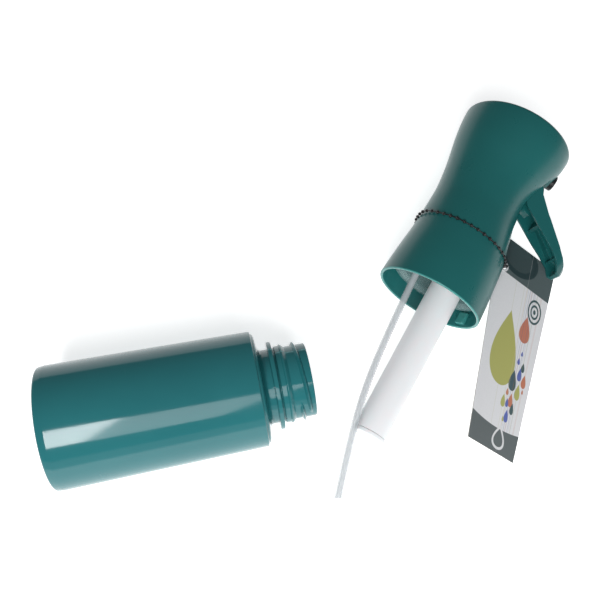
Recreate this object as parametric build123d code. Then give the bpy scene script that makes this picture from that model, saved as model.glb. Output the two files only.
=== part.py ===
from build123d import *
import math
import os

# Hand mister: tinted bottle with a threaded neck and a trigger sprayer head, lying side by side,
# taken apart.  Millimetres.  Row frame: +Z up from the surface it lies on, +X along the row's
# longest side, origin at the middle of the footprint.

# ---------------------------------------------------------------- driving dimensions
ROW_SHIFT = (-6.652, 5.754, 0.019)      # footprint centre to the origin, lowest point to Z 0

# bottle (own frame: base centre at origin, +Z to the mouth)
BOTTLE_BASE = (-108.47, -67.45, 27.2)
BOTTLE_HEADING = 11.3                 # degrees, axis direction on the surface
R_BASE = 27.2
R_SHOULDER = 25.45
Z_SHOULDER = 92.3
BOTTLE_WALL = 1.1
Z_MOUTH = 115.1
R_NECK = 16.1
R_BORE = 14.8
R_THREAD = 17.5
THREAD_LEAD = 7.2
R_FLANGE = 19.4

# head (own frame: rim centre at origin, +Z along the shroud axis, +X to the nozzle side)
HEAD_ORIGIN = (58.25, -7.90, 25.0)
HEAD_HEADING = 59.79
HEAD_TILT = 1.24
HEAD_ROLL = 12.0
WALL = 1.4
# stations of the shroud: height, radius, centre offset along X
SHROUD = [(0.0, 25.0, 0.0), (9.0, 24.45, 0.0), (18.0, 23.70, 0.0), (27.0, 22.85, 0.0),
          (35.0, 21.85, -0.6), (42.0, 20.95, -1.35), (50.0, 20.15, -2.15), (60.0, 20.45, -2.95),
          (68.0, 21.90, -2.85), (77.0, 24.30, -2.20), (85.6, 26.20, -1.50), (91.8, 26.75, -1.30)]
H_TOP = 93.4
TOP_EDGE = 1.6

BUF_X0 = 5.1                          # pressure cylinder axis where it crosses the rim plane
BUF_LEAN = 1.1                        # degrees, towards the nozzle side going down
BUF_R, BUF_RI = 7.5, 6.3
BUF_BOTTOM = 68.2
BUF_TOP = 27.0

TUBE_R, TUBE_RI = 1.6, 1.05
TUBE_ROUTE = [(-11.2, -2.0, 30.5), (-11.2, -2.0, 17.5), (-11.2, -2.9, 6.0), (-10.2, -3.8, -7.0),
              (-9.3, -5.2, -22.0), (-8.0, -7.0, -38.0), (-6.2, -8.5, -52.5), (-2.9, -9.7, -68.0),
              (1.7, -10.7, -84.5), (6.1, -11.25, -98.6)]

PIVOT = (12.0, 73.5)                  # trigger pivot, x and z
PIN_R = 1.5
TRIG_HALF = 8.0
SLOT_HALF = 9.1
SLOT_Z = (54.0, 78.6)
NOZZLE_Z = 82.5
PUMP_Z = 60.0

TAG = dict(TL=(97.7, 32.0, 8.0), TR=(124.1, 14.1, 0.45), BR=(96.6, -78.3, 0.45), BL=(73.1, -69.8, 21.5))
TAG_T = 0.5

os.makedirs("parts", exist_ok=True)


def plane_from(origin, xd, zd):
    return Plane(origin=Vector(*origin), x_dir=Vector(*xd), z_dir=Vector(*zd))


# ---------------------------------------------------------------- placing frames
bt = math.atan((R_BASE - R_SHOULDER) / Z_SHOULDER)          # the slightly tapered body lies on its side
bh = math.radians(BOTTLE_HEADING)
b_axis = (math.cos(bh) * math.cos(bt), math.sin(bh) * math.cos(bt), -math.sin(bt))
b_x = (-math.sin(bh), math.cos(bh), 0.0)
b_org = (BOTTLE_BASE[0], BOTTLE_BASE[1], R_BASE * math.cos(bt))
BP = plane_from(b_org, b_x, b_axis)

hh, ht, hr = math.radians(HEAD_HEADING), math.radians(HEAD_TILT), math.radians(HEAD_ROLL)
h_axis = Vector(math.cos(hh) * math.cos(ht), math.sin(hh) * math.cos(ht), math.sin(ht))
x0 = Vector(math.sin(hh), -math.cos(hh), 0.0)
zd = h_axis.cross(x0)
xh = x0 * math.cos(hr) + zd * math.sin(hr)
xh = (xh - h_axis * xh.dot(h_axis)).normalized()
HP = Plane(origin=Vector(*HEAD_ORIGIN), x_dir=xh, z_dir=h_axis)

shift = Location(ROW_SHIFT)
nodes = {}


def put(name, shape, plane=None, label=None):
    s = shape
    if plane is not None:
        s = plane.location * s
    s = shift * s
    nodes[name] = s


def ring(ro, ri, z0, z1):
    with BuildPart() as p:
        with BuildSketch(Plane.XY.offset(z0)):
            Circle(ro)
            if ri > 0:
                Circle(ri, mode=Mode.SUBTRACT)
        extrude(amount=z1 - z0)
    return p.part


def revolve_profile(pts):
    with BuildPart() as p:
        with BuildSketch(Plane.XZ):
            with BuildLine():
                Polyline(*[(r, z) for r, z in pts], close=True)
            make_face()
        revolve(axis=Axis.Z)
    return p.part


def xrod(r, x0_, x1_, z, ri=0.0, y=0.0):
    pl = Plane(origin=(x0_, y, z), x_dir=(0, 1, 0), z_dir=(1, 0, 0))
    with BuildPart() as p:
        with BuildSketch(pl):
            Circle(r)
            if ri > 0:
                Circle(ri, mode=Mode.SUBTRACT)
        extrude(amount=x1_ - x0_)
    return p.part


def box(x0_, x1_, y0_, y1_, z0_, z1_):
    return Pos((x0_ + x1_) / 2, (y0_ + y1_) / 2, (z0_ + z1_) / 2) * Box(x1_ - x0_, y1_ - y0_, z1_ - z0_)


def prism_xz(pts, half, half2=None):
    lo = -half if half2 is None else half
    hi = half if half2 is None else half2
    pl = Plane(origin=(0, hi, 0), x_dir=(1, 0, 0), z_dir=(0, -1, 0))
    with BuildPart() as p:
        with BuildSketch(pl):
            with BuildLine():
                Polyline(*pts, close=True)
            make_face()
        extrude(amount=hi - lo)
    return p.part


def coil(radius, wire, length, turns):
    path = Helix(pitch=length / turns, height=length, radius=radius)
    sec = Plane(origin=path @ 0, z_dir=path % 0) * Circle(wire)
    return sweep(sec, path=path, is_frenet=True)


def tube_route(pts, ro, ri):
    vs = [Vector(*p) for p in pts]
    radii = []
    for a, b, c in zip(vs, vs[1:], vs[2:]):
        d1, d2 = b - a, c - b
        turn = math.radians(d1.get_angle(d2))
        radii.append(0.45 * min(d1.length, d2.length) / math.tan(turn / 2))
    path = FilletPolyline(*pts, radius=radii)
    d = (vs[1] - vs[0]).normalized()
    pl = Plane(origin=vs[0], z_dir=d)
    outer = sweep(pl * Circle(ro), path=path)
    inner = sweep(pl * Circle(ri), path=path) if ri > 0 else None
    return (outer - inner if inner else outer), path.length, radii


# ---------------------------------------------------------------- bottle
w = BOTTLE_WALL
outer = [(0.0, 3.2), (15.0, 3.2), (19.5, 1.4), (21.8, 0.3), (22.4, 0.0), (24.8, 0.0), (26.0, 0.35), (26.8, 1.2), (27.17, 2.6),
         (R_SHOULDER + 0.03, Z_SHOULDER - 1.3), (R_SHOULDER - 0.25, Z_SHOULDER - 0.35), (R_SHOULDER - 0.9, Z_SHOULDER),
         (24.3, Z_SHOULDER + 0.2), (23.9, Z_SHOULDER + 0.9), (22.9, Z_SHOULDER + 1.35), (18.0, Z_SHOULDER + 1.9),
         (16.8, Z_SHOULDER + 2.5), (16.3, Z_SHOULDER + 3.2), (16.3, Z_SHOULDER + 6.1), (R_FLANGE, Z_SHOULDER + 6.3),
         (R_FLANGE, Z_SHOULDER + 8.2), (16.3, Z_SHOULDER + 8.5), (16.3, 101.3), (16.9, 101.6), (16.9, 103.6), (17.5, 104.0),
         (17.5, 104.4), (R_NECK, 105.9), (R_NECK, Z_MOUTH - 0.6), (R_NECK - 0.4, Z_MOUTH)]
inner = [(R_BORE, Z_MOUTH), (R_BORE, Z_SHOULDER + 2.2), (15.4, Z_SHOULDER + 1.2), (18.0, Z_SHOULDER + 0.2),
         (21.5, Z_SHOULDER - 0.5), (23.3, Z_SHOULDER - 1.7), (R_SHOULDER - w, Z_SHOULDER - 4.0),
         (R_BASE - w - 0.05, 5.0), (R_BASE - w - 1.0, 2.4), (23.6, 1.25), (21.8, 1.5), (19.8, 2.7), (15.2, 4.4), (0.0, 4.4)]
bottle = revolve_profile(outer + inner)
# two-start thread: each start one and a quarter turns
for k in range(2):
    h = 6.6
    path = Pos(0, 0, Z_MOUTH - 2.2 - h) * (Rot(0, 0, 100 + 180 * k) * Helix(pitch=THREAD_LEAD, height=h, radius=R_NECK - 0.35))
    o = path @ 0
    t = path % 0
    rad = Vector(o.X, o.Y, 0).normalized()
    pl = Plane(origin=o, x_dir=rad, z_dir=t)
    with BuildSketch(pl) as sk:
        with BuildLine():
            Polyline((0, -1.25), (R_THREAD - R_NECK + 0.35, -0.45), (R_THREAD - R_NECK + 0.35, 0.45), (0, 1.25), close=True)
        make_face()
    bottle = bottle + sweep(sk.sketch, path=path, is_frenet=True)
put("bottle", bottle, BP)


# ---------------------------------------------------------------- head shroud
def loft_stack(stations):
    secs = []
    for z, r, cx in stations:
        secs.append(Pos(cx, 0, z) * Circle(r))
    return loft(secs, ruled=True)


st_out = SHROUD
st_in = [(z, r - WALL, cx) for z, r, cx in SHROUD]
zt, rt, cxt = SHROUD[-1]
shell_out = loft_stack(st_out)
cap_pts = [(0, zt)] + [(rt - TOP_EDGE + TOP_EDGE * math.cos(a), zt + TOP_EDGE * math.sin(a))
                       for a in [math.radians(d) for d in (0, 18, 36, 54, 72, 90)]] + [(0, zt + TOP_EDGE)]
cap = Pos(cxt, 0, 0) * revolve_profile(cap_pts)
shell_in = loft_stack([(-0.5, SHROUD[0][1] - WALL, 0.0)] + st_in[1:])   # runs past the open rim
shroud = shell_out + cap - shell_in
shroud = shroud - box(6, 40, -SLOT_HALF, SLOT_HALF, SLOT_Z[0], SLOT_Z[1])
shroud = shroud - xrod(4.02, 16, 32, NOZZLE_Z)
# rectangular lug on the inner wall of the skirt
lug_az = math.radians(28.0)
lug = Rot(0, 0, 28.0) * box(21.9, 23.9, -2.6, 2.6, 1.6, 7.2)
shroud = shroud + lug
put("head_shroud", shroud, HP)

# ---------------------------------------------------------------- engine frame
BUF_PL = Plane(origin=(BUF_X0, 0, 0), x_dir=(math.cos(math.radians(BUF_LEAN)), 0, math.sin(math.radians(BUF_LEAN))),
               z_dir=(-math.sin(math.radians(BUF_LEAN)), 0, math.cos(math.radians(BUF_LEAN))))
deck = ring(21.0, 0, 22.0, 24.4)
frame = deck
for s in (-1, 1):
    lo, hi = (9.5, 11.2) if s > 0 else (-11.2, -9.5)
    web = prism_xz([(5.0, 24.0), (11.4, 24.0), (11.4, 62.0), (14.4, 71.5), (14.4, 75.3), (12.0, 76.2), (9.4, 75.3), (7.6, 62.0)], lo, hi)
    frame = frame + web
frame = frame + box(-15.0, -6.0, -1.5, 1.5, 30.0, 53.6) + box(-18.0, -6.0, -1.5, 1.5, 24.0, 31.0)
frame = frame + box(-9.0, -6.0, -11.0, 11.0, 38.0, 41.0) + box(-9.0, 8.0, 9.5, 11.2, 38.0, 41.0) + box(-9.0, 8.0, -11.2, -9.5, 38.0, 41.0)
frame = frame - BUF_PL.location * ring(BUF_R + 0.05, 0, 10, 40)
frame = frame - BUF_PL.location * ring(8.6, 0, BUF_TOP - 2.1, BUF_TOP + 0.1)
frame = frame - Pos(-11.2, -2.0, 0) * ring(2.95, 0, 10, 46.1)
frame = frame - box(-15.3, -8.9, -4.1, 0.1, 45.9, 57.0)
frame = frame - Pos(PIVOT[0], 0, PIVOT[1]) * (Rot(90, 0, 0) * Cylinder(PIN_R, 60))
frame = frame - xrod(6.25, -21, 4, PUMP_Z)
put("engine_frame", frame, HP)

# ---------------------------------------------------------------- collar, gasket
collar = revolve_profile([(19.2, 7.5), (21.3, 7.5), (21.3, 21.9), (17.8, 21.9), (17.8, 9.4)])
for k in range(8):
    collar = collar + Rot(0, 0, 22.5 + 45 * k) * box(21.2, 21.75, -0.5, 0.5, 9.0, 21.9)
put("screw_collar", collar, HP)
put("neck_gasket", ring(17.7, 14.9, 20.6, 21.95), HP)

# ---------------------------------------------------------------- pressure (buffer) cylinder
cyl = ring(BUF_R, BUF_RI, -BUF_BOTTOM + 1.6, BUF_TOP) + ring(8.5, BUF_RI, BUF_TOP - 2.0, BUF_TOP)
cyl = cyl + ring(BUF_R, 1.5, BUF_TOP - 1.5, BUF_TOP)
put("buffer_cylinder", BUF_PL.location * cyl, HP)
ecap = ring(BUF_R - 0.12, 2.0, -BUF_BOTTOM, -BUF_BOTTOM + 1.58) + ring(BUF_RI - 0.02, BUF_RI - 1.4, -BUF_BOTTOM + 1.5, -BUF_BOTTOM + 5.0)
ecap = ecap - box(BUF_R - 1.6, BUF_R + 1, -0.9, 0.9, -BUF_BOTTOM - 1, -BUF_BOTTOM + 0.8)
put("buffer_end_cap", BUF_PL.location * ecap, HP)
piston = ring(5.8, 0, 14.0, 22.0) - ring(7.0, 4.9, 16.0, 18.4) + ring(2.0, 0, 8.0, 14.0)
put("buffer_piston", BUF_PL.location * piston, HP)
put("buffer_piston_seal", BUF_PL.location * ring(BUF_RI - 0.05, 4.92, 16.02, 18.38), HP)
put("buffer_spring", BUF_PL.location * (Pos(0, 0, -60.4) * coil(4.4, 0.5, 73.8, 13)), HP)

# ---------------------------------------------------------------- dip tube, socket, inlet ball, suction duct
tube, tube_len, tube_radii = tube_route(TUBE_ROUTE, TUBE_R, TUBE_RI)
print("dip tube length %.1f mm, radii %s" % (tube_len, [round(r) for r in tube_radii]))
print("dip tube volume %.1f, section x length %.1f" % (tube.volume, math.pi * (TUBE_R ** 2 - TUBE_RI ** 2) * tube_len))
put("dip_tube", tube, HP)
sock = revolve_profile([(1.72, 22.6), (2.9, 22.6), (2.9, 40.5), (2.0, 40.5), (2.0, 33.4), (0.9, 32.0), (0.9, 31.0), (1.72, 31.0)])
put("tube_socket", Pos(-11.2, -2.0, 0) * sock, HP)
put("inlet_ball", Pos(-11.2, -2.0, 33.42) * Sphere(1.5), HP)
duct = ring(1.95, 1.0, 39.2, 46.0)
put("suction_duct", Pos(-11.2, -2.0, 0) * duct, HP)

# ---------------------------------------------------------------- pump
pc = xrod(6.2, -18.5, 1.0, PUMP_Z, ri=5.0) + xrod(6.2, -18.5, -17.0, PUMP_Z)
pc = pc + box(-15.2, -9.0, -4.0, 0.0, 46.0, 55.6) - xrod(5.0, -17.0, 2.0, PUMP_Z)
pc = pc - Pos(-11.2, -2.0, 0) * ring(1.0, 0, 40, 58) - Pos(-12.0, 0, 0) * ring(1.2, 0, 60, 70)
put("pump_cylinder", pc, HP)
pp = xrod(4.6, -5.6, -1.0, PUMP_Z) - xrod(6.0, -4.4, -2.4, PUMP_Z, ri=3.6) + xrod(2.2, -1.2, 11.4, PUMP_Z)
pp = pp + Pos(11.4, 0, PUMP_Z) * Sphere(2.2)
put("pump_piston", pp, HP)
put("pump_piston_seal", xrod(4.95, -4.38, -2.42, PUMP_Z, ri=3.62), HP)
sp = Plane(origin=(-16.5, 0, PUMP_Z), x_dir=(0, 1, 0), z_dir=(1, 0, 0)).location * coil(3.3, 0.4, 10.3, 6)
put("pump_return_spring", sp, HP)

# ---------------------------------------------------------------- discharge line
disc, disc_len, _ = tube_route([(-12.0, 0.0, 66.0), (-12.0, 0.0, 75.0), (-9.0, 0.0, 81.0), (-2.5, 0.0, NOZZLE_Z + 0.001), (6.5, 0.0, NOZZLE_Z)], 2.2, 1.2)
disc = disc + (Pos(-12.0, 0, 65.75) * ring(2.2, 1.2, 0, 0.3))
disc = disc - xrod(6.2, -21, 4, PUMP_Z)
put("discharge_tube", disc, HP)
vh = xrod(4.0, 6.5, 17.9, NOZZLE_Z) - xrod(3.0, 8.0, 16.6, NOZZLE_Z) - xrod(1.2, 6.0, 9.0, NOZZLE_Z) - xrod(0.9, 16.0, 20.0, NOZZLE_Z)
put("valve_housing", vh, HP)
ov = xrod(2.5, 8.05, 9.4, NOZZLE_Z) + xrod(1.0, 9.3, 12.2, NOZZLE_Z) + xrod(0.8, 7.4, 8.1, NOZZLE_Z)
put("outlet_valve", ov, HP)
put("outlet_valve_spring", Plane(origin=(10.0, 0, NOZZLE_Z), x_dir=(0, 1, 0), z_dir=(1, 0, 0)).location * coil(1.85, 0.28, 6.2, 5), HP)
put("nozzle_swirl", xrod(2.5, 18.0, 20.2, NOZZLE_Z) - xrod(0.7, 17, 22, NOZZLE_Z) - box(19.4, 21, -2.6, 2.6, NOZZLE_Z - 0.3, NOZZLE_Z + 0.3), HP)
bez = xrod(3.9, 18.0, 25.1, NOZZLE_Z, ri=2.6)
bez = bez.chamfer(0.4, None, bez.edges().filter_by(GeomType.CIRCLE).sort_by(Axis.X)[-2:])
put("nozzle_bezel", bez, HP)
ins = xrod(2.55, 20.3, 24.8, NOZZLE_Z) - xrod(1.4, 23.6, 26.0, NOZZLE_Z) - xrod(0.35, 19.0, 26.0, NOZZLE_Z)
put("nozzle_insert", ins, HP)

# ---------------------------------------------------------------- trigger
T_OUT = [(12.0, 76.9), (17.5, 76.2), (20.6, 73.2), (21.5, 70.9), (28.1, 64.0), (33.8, 59.0), (41.4, 52.2), (46.2, 48.4),
         (48.2, 45.8), (48.2, 43.2), (46.8, 41.7), (44.7, 42.4), (42.5, 45.9), (38.0, 49.6), (33.0, 52.4), (28.1, 55.3),
         (22.6, 58.6), (17.2, 61.9), (14.2, 66.0), (9.4, 71.2), (8.6, 74.5)]
T_PLAN = [(5.0, -TRIG_HALF), (30.0, -TRIG_HALF), (40.0, -7.3), (44.2, -5.9), (47.0, -3.8), (48.5, -1.5),
          (48.5, 1.5), (47.0, 3.8), (44.2, 5.9), (40.0, 7.3), (30.0, TRIG_HALF), (5.0, TRIG_HALF)]
T_CUT = [(19.6, 69.2), (27.0, 62.2), (32.7, 57.3), (40.2, 50.6), (44.3, 47.4), (45.7, 45.5), (45.5, 42.6), (43.3, 40.6), (38.0, 46.6),
         (33.0, 49.4), (28.1, 52.3), (22.0, 55.6), (15.0, 58.5), (15.0, 64.0), (16.8, 67.0)]
T_CUT_PLAN = [(12.0, -6.7), (30.0, -6.7), (39.6, -6.0), (43.6, -4.6), (45.6, -2.6), (46.3, 0.0), (45.6, 2.6), (43.6, 4.6),
              (39.6, 6.0), (30.0, 6.7), (12.0, 6.7)]


def plan_prism(pts, z0, z1):
    with BuildPart() as p:
        with BuildSketch(Plane.XY.offset(z0)):
            with BuildLine():
                Polyline(*pts, close=True)
            make_face()
        extrude(amount=z1 - z0)
    return p.part


body = prism_xz(T_OUT, TRIG_HALF) & plan_prism(T_PLAN, 30, 80)
hollow = prism_xz(T_CUT, 6.9) & plan_prism(T_CUT_PLAN, 30, 80)
trig = body - hollow
rib_long = prism_xz([(27.5, 62.6), (33.5, 57.8), (41.0, 51.0), (44.4, 47.2), (42.6, 47.6), (38.6, 50.4), (33.2, 54.6), (27.4, 58.6)], 0.65)
rib_cross = prism_xz([(27.0, 62.9), (28.6, 61.6), (28.1, 56.9), (26.6, 57.8)], 7.2)
rib_tip = prism_xz([(41.6, 49.8), (42.6, 49.0), (41.8, 47.4), (40.8, 48.2)], 5.6)
trig = trig + (rib_long & body) + (rib_cross & body) + (rib_tip & body)
cam = prism_xz([(13.95, 57.6), (20.5, 57.2), (22.5, 66.0), (16.0, 68.5), (13.95, 63.0)], 2.6) & prism_xz(
    [(13.95, 57.6), (17.8, 61.5), (22.6, 60.0), (24.0, 66.0), (16.0, 70.0), (13.95, 63.0)], 2.6)
trig = trig + cam
trig = trig - Pos(PIVOT[0], 0, PIVOT[1]) * (Rot(90, 0, 0) * Cylinder(PIN_R + 0.05, 60))
put("trigger", trig, HP)
put("trigger_pivot_pin", Pos(PIVOT[0], 0, PIVOT[1]) * (Rot(90, 0, 0) * Cylinder(PIN_R, 22.2)), HP)

# ---------------------------------------------------------------- hang tag: a card with a slight twist
def v(t):
    return Vector(*t)


def lerp(a, b, t):
    return a + (b - a) * t


TL, TR, BR, BL = v(TAG["TL"]), v(TAG["TR"]), v(TAG["BR"]), v(TAG["BL"])


def tag_section(t):
    a, b = lerp(BL, TL, t), lerp(BR, TR, t)
    along = (lerp(TL, TR, 0.5) - lerp(BL, BR, 0.5)).normalized()
    wd = (b - a).normalized()
    n = wd.cross(along).normalized()
    pts = [a + n * (TAG_T / 2), b + n * (TAG_T / 2), b - n * (TAG_T / 2), a - n * (TAG_T / 2)]
    return Face(Wire.make_polygon([tuple(p) for p in pts], close=True))


card = Solid.make_loft([tag_section(t).outer_wire() for t in (0.0, 0.5, 1.0)], ruled=True)
HOLE = lerp(lerp(TL, TR, 0.135), lerp(BL, BR, 0.135), 0.155)
along = (lerp(TL, TR, 0.5) - lerp(BL, BR, 0.5)).normalized()
wdir = (lerp(TR, BR, 0.155) - lerp(TL, BL, 0.155)).normalized()
nrm = wdir.cross(along).normalized()
hp = Plane(origin=HOLE, x_dir=wdir, z_dir=nrm)
card = card - hp.location * Cylinder(1.75, 6)
put("tag_card", card)
eye = hp.location * (Cylinder(2.6, 0.9) - Cylinder(1.45, 3))
eye = eye - card
put("tag_eyelet", eye)

# ---------------------------------------------------------------- beaded tie round the waist
TIE_Z, TIE_R, TIE_CX = 31.6, 23.0, -0.3
n_bead = 40
string = HP.location * (Pos(TIE_CX, 0, TIE_Z) * Torus(TIE_R, 0.28))
# short tail from the ring through the eyelet of the card
p_hole = HOLE
p0 = HP.from_local_coords(Vector(TIE_CX + TIE_R * math.cos(0.06), TIE_R * math.sin(0.06), TIE_Z))
p1 = p0 + (p_hole + nrm * 3.0 - p0) * 0.5 + nrm * 1.1
p2 = p_hole + nrm * 2.2
p3 = p_hole - nrm * 1.3
tail_pts = [tuple(p0), tuple(p1), tuple(p2), tuple(p3)]
tail, tail_len, tail_radii = tube_route(tail_pts, 0.27, 0)
string = string + tail
put("tie_string", string)
bead = revolve_profile([(0.31, -0.52), (0.45, -0.42), (0.57, -0.18), (0.57, 0.18), (0.45, 0.42), (0.31, 0.52)])
beads = []
for k in range(n_bead):
    a = 2 * math.pi * (k + 0.5) / n_bead
    t = Vector(-math.sin(a), math.cos(a), 0)
    c = Vector(TIE_CX + TIE_R * math.cos(a), TIE_R * math.sin(a), TIE_Z)
    pl = Plane(origin=c, z_dir=t)
    beads.append(pl.location * bead)
put("tie_beads", Compound([HP.location * b for b in beads]))

# ---------------------------------------------------------------- write
for name, s in nodes.items():
    s.label = name
    export_step(s, "parts/%s.step" % name)
lo = [min(tuple(s.bounding_box().min)[i] for s in nodes.values()) for i in range(3)]
hi = [max(tuple(s.bounding_box().max)[i] for s in nodes.values()) for i in range(3)]
print("box", [round(x, 3) for x in lo], [round(x, 3) for x in hi])
print("shift to", [round(-(lo[0] + hi[0]) / 2, 3), round(-(lo[1] + hi[1]) / 2, 3), round(-lo[2], 3)])
print("hole", HOLE, "normal", nrm, "width", wdir, "along", along)
print(len(nodes), "nodes")
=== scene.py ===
import bpy
import bmesh
import math
from mathutils import Matrix, Vector


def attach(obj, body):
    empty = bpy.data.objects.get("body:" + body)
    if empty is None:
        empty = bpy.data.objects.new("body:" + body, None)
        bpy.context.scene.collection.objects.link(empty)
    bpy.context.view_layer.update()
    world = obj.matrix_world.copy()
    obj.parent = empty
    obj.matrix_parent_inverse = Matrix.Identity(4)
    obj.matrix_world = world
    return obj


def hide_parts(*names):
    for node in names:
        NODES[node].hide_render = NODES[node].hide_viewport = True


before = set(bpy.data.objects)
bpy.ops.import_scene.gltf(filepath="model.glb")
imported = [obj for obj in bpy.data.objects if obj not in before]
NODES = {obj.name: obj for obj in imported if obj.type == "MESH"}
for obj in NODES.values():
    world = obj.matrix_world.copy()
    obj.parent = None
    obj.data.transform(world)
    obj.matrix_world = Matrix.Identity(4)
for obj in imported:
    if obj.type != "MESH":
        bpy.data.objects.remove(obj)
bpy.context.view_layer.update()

MM = 0.001

# ------------------------------------------------------------------ layout, the same numbers as the CAD part (mm)
SHIFT = Vector((-6.652, 5.754, 0.019))
R_BASE, R_SHOULDER, Z_SHOULDER, Z_MOUTH = 27.2, 25.45, 92.3, 115.1
R_NECK, R_BORE, R_THREAD, THREAD_LEAD = 16.1, 14.8, 17.5, 7.2
SHROUD = [(0.0, 25.0, 0.0), (9.0, 24.45, 0.0), (18.0, 23.70, 0.0), (27.0, 22.85, 0.0),
          (35.0, 21.85, -0.6), (42.0, 20.95, -1.35), (50.0, 20.15, -2.15), (60.0, 20.45, -2.95),
          (68.0, 21.90, -2.85), (77.0, 24.30, -2.20), (85.6, 26.20, -1.50), (91.8, 26.75, -1.30)]
WALL = 1.4
SLOT_HALF, SLOT_Z = 9.1, (54.0, 78.6)
NOZZLE_Z = 82.5
TAG = dict(TL=(97.7, 32.0, 8.0), TR=(124.1, 14.1, 0.45), BR=(96.6, -78.3, 0.45), BL=(73.1, -69.8, 21.5))


def basis(origin, x, y, z):
    m = Matrix.Identity(4)
    for i, v in enumerate((x, y, z)):
        for k in range(3):
            m[k][i] = v[k]
    o = Vector(origin) + SHIFT
    for k in range(3):
        m[k][3] = o[k]
    return Matrix.Scale(MM, 4) @ m


bt = math.atan((R_BASE - R_SHOULDER) / Z_SHOULDER)
bh = math.radians(11.3)
bz = Vector((math.cos(bh) * math.cos(bt), math.sin(bh) * math.cos(bt), -math.sin(bt)))
bx = Vector((-math.sin(bh), math.cos(bh), 0.0))
by = bz.cross(bx)
BP = basis((-108.47, -67.45, R_BASE * math.cos(bt)), bx, by, bz)

hh, ht, hr = math.radians(59.79), math.radians(1.24), math.radians(12.0)
hz = Vector((math.cos(hh) * math.cos(ht), math.sin(hh) * math.cos(ht), math.sin(ht)))
x0 = Vector((math.sin(hh), -math.cos(hh), 0.0))
hx = x0 * math.cos(hr) + hz.cross(x0) * math.sin(hr)
hx = (hx - hz * hx.dot(hz)).normalized()
hy = hz.cross(hx)
HP = basis((58.25, -7.90, 25.0), hx, hy, hz)
lean = math.radians(1.1)
UP = HP @ Matrix.Translation((5.1, 0, 0)) @ Matrix.Rotation(-lean, 4, "Y")
WP = basis((0, 0, 0), Vector((1, 0, 0)), Vector((0, 1, 0)), Vector((0, 0, 1)))


# ------------------------------------------------------------------ materials
def new_mat(name):
    m = bpy.data.materials.new(name)
    m.use_nodes = True
    nt = m.node_tree
    nt.nodes.clear()
    out = nt.nodes.new("ShaderNodeOutputMaterial")
    p = nt.nodes.new("ShaderNodeBsdfPrincipled")
    nt.links.new(p.outputs["BSDF"], out.inputs["Surface"])
    return m, nt, p, out


def coords(nt, scale=(1, 1, 1)):
    tc = nt.nodes.new("ShaderNodeTexCoord")
    mp = nt.nodes.new("ShaderNodeMapping")
    mp.inputs["Scale"].default_value = scale
    nt.links.new(tc.outputs["Object"], mp.inputs["Vector"])
    return mp.outputs["Vector"]


def noise_node(nt, vec, scale, detail=2.0, rough=0.5):
    n = nt.nodes.new("ShaderNodeTexNoise")
    n.inputs["Scale"].default_value = scale
    n.inputs["Detail"].default_value = detail
    n.inputs["Roughness"].default_value = rough
    nt.links.new(vec, n.inputs["Vector"])
    return n.outputs["Fac"]


def ramp(nt, fac, lo, hi, a, b):
    r = nt.nodes.new("ShaderNodeMapRange")
    r.inputs["From Min"].default_value = lo
    r.inputs["From Max"].default_value = hi
    r.inputs["To Min"].default_value = a
    r.inputs["To Max"].default_value = b
    nt.links.new(fac, r.inputs["Value"])
    return r.outputs["Result"]


def mix_color(nt, fac, a, b):
    m = nt.nodes.new("ShaderNodeMix")
    m.data_type = "RGBA"
    for sock, val in ((m.inputs[6], a), (m.inputs[7], b)):
        if isinstance(val, tuple):
            sock.default_value = (*val, 1.0) if len(val) == 3 else val
        else:
            nt.links.new(val, sock)
    if isinstance(fac, float):
        m.inputs[0].default_value = fac
    else:
        nt.links.new(fac, m.inputs[0])
    return m.outputs[2]


def math_node(nt, op, a, b=None):
    n = nt.nodes.new("ShaderNodeMath")
    n.operation = op
    for i, v in enumerate((a, b)):
        if v is None:
            continue
        if isinstance(v, (int, float)):
            n.inputs[i].default_value = v
        else:
            nt.links.new(v, n.inputs[i])
    return n.outputs[0]


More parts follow.
